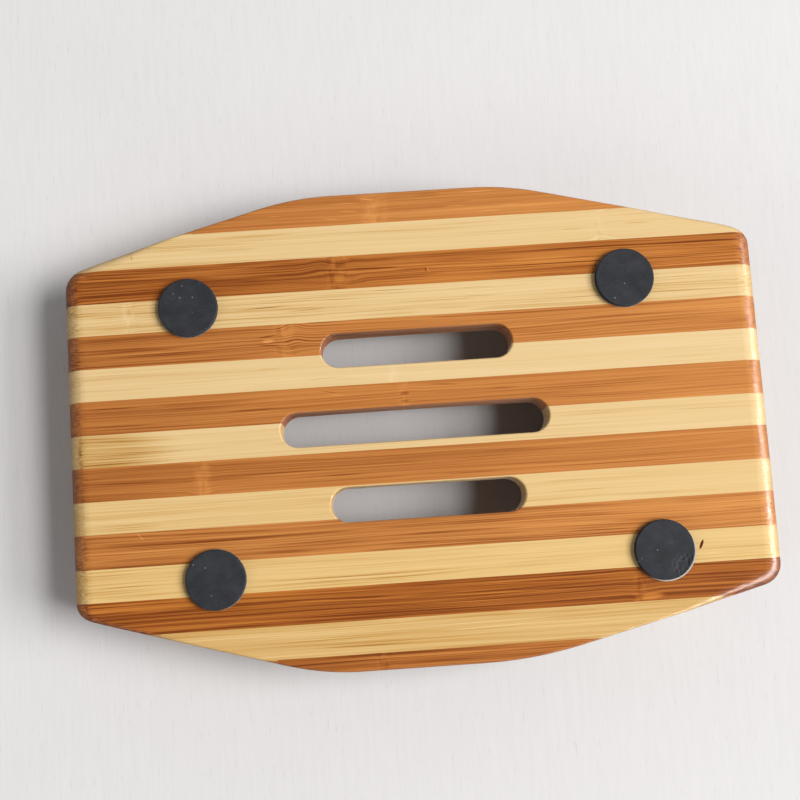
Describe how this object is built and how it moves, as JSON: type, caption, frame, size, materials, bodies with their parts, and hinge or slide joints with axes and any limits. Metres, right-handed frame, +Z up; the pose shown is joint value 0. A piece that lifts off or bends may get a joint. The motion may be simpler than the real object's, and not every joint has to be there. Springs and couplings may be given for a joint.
{
  "type": "soap dish",
  "caption": "Laminated two-tone bamboo soap dish with tapering long sides, a scooped top that is thick at both ends, long drain slots and round foam feet.",
  "frame": {"origin": "on the table under the middle of the dish, level with the undersides of the foam feet", "axes": "+X along the bamboo strips, +Y across them from front to back, +Z up"},
  "size_m": [0.1318, 0.0896, 0.0161],
  "materials": {
    "dark_bamboo": "satin lacquer over carbonised bamboo",
    "light_bamboo": "satin lacquer over natural bamboo",
    "pad_foam": "matte closed-cell foam",
    "adhesive": "matte white adhesive film"
  },
  "bodies": {
    "root": {"dark_strip_1": "dark_bamboo", "light_strip_1": "light_bamboo", "dark_strip_2": "dark_bamboo", "light_strip_2": "light_bamboo", "dark_strip_3": "dark_bamboo", "light_strip_3": "light_bamboo", "dark_strip_4": "dark_bamboo", "light_strip_4": "light_bamboo", "dark_strip_5": "dark_bamboo", "light_strip_5": "light_bamboo", "dark_strip_6": "dark_bamboo", "light_strip_6": "light_bamboo", "dark_strip_7": "dark_bamboo", "light_strip_7": "light_bamboo", "dark_strip_8": "dark_bamboo", "foot_pad_front_left": "pad_foam", "adhesive_disc_front_left": "adhesive", "foot_pad_front_right": "pad_foam", "adhesive_disc_front_right": "adhesive", "foot_pad_back_left": "pad_foam", "adhesive_disc_back_left": "adhesive", "foot_pad_back_right": "pad_foam", "adhesive_disc_back_right": "adhesive"}
  },
  "joints": []
}
